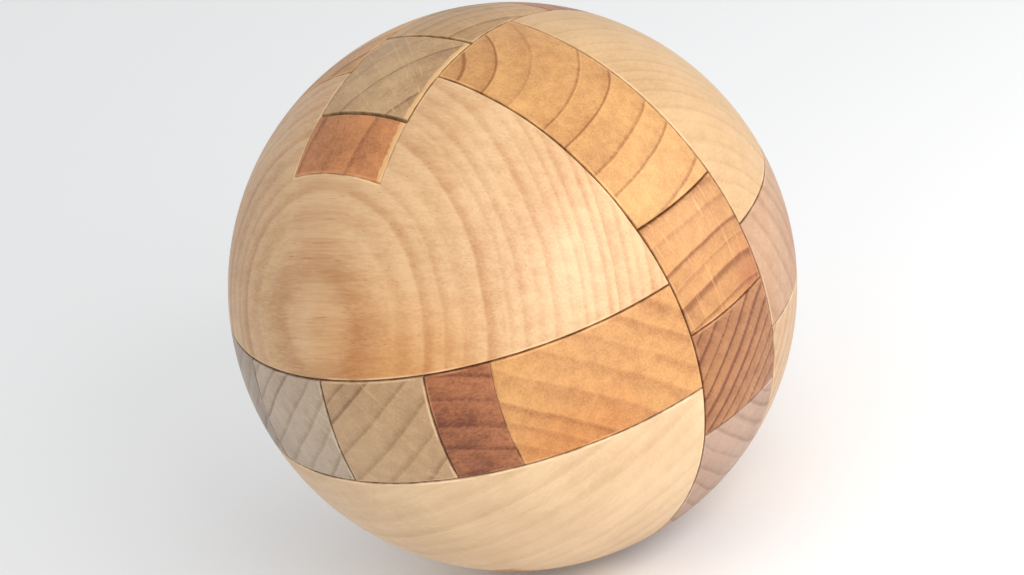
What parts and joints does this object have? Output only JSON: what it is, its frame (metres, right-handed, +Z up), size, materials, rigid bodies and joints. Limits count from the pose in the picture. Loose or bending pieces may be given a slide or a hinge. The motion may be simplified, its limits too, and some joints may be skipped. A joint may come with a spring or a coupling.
{
  "type": "interlocking wooden ball puzzle",
  "caption": "Solid wooden ball cut into interlocking sticks, shells and half-moons that lock one another; a plain key stick slides out lengthwise to open it.",
  "frame": {"origin": "centre of the ball", "axes": "+Z up along the pair of upright sticks, X along the pair of cross sticks, Y along the key stick; the key's near end faces -Y"},
  "size_m": [0.074, 0.074, 0.074],
  "materials": {
    "grey_brown_wood": "satin, close-grained, lightly waxed",
    "tawny_wood": "satin, close-grained, lightly waxed",
    "golden_wood": "satin, bold growth rings, lightly waxed",
    "pale_wood": "satin, fine growth rings, lightly waxed",
    "orange_wood": "satin, striped growth rings, lightly waxed",
    "red_brown_wood": "satin, short dark pores, lightly waxed",
    "pinkish_wood": "satin, close-grained, lightly waxed"
  },
  "bodies": {
    "ball": {"through_stick_right": "grey_brown_wood", "cross_stick_upper": "orange_wood", "cross_stick_lower": "tawny_wood", "upright_stick_front": "grey_brown_wood", "upright_stick_rear": "grey_brown_wood", "front_upper_quarter": "golden_wood", "front_lower_quarter": "pale_wood", "front_spine": "red_brown_wood", "rear_upper_quarter": "pale_wood", "rear_lower_quarter": "golden_wood", "rear_spine": "red_brown_wood", "right_front_wedge": "orange_wood", "right_rear_wedge": "pale_wood", "right_spine": "red_brown_wood", "left_half_moon": "grey_brown_wood", "top_half_moon": "orange_wood", "bottom_half_moon": "pinkish_wood"},
    "key": {"key_stick": "grey_brown_wood"}
  },
  "joints": [
    {"name": "key_slide", "type": "slide", "parent": "ball", "child": "key", "axis": [0, -1, 0], "range_m": [-0.076, 0.076]}
  ]
}
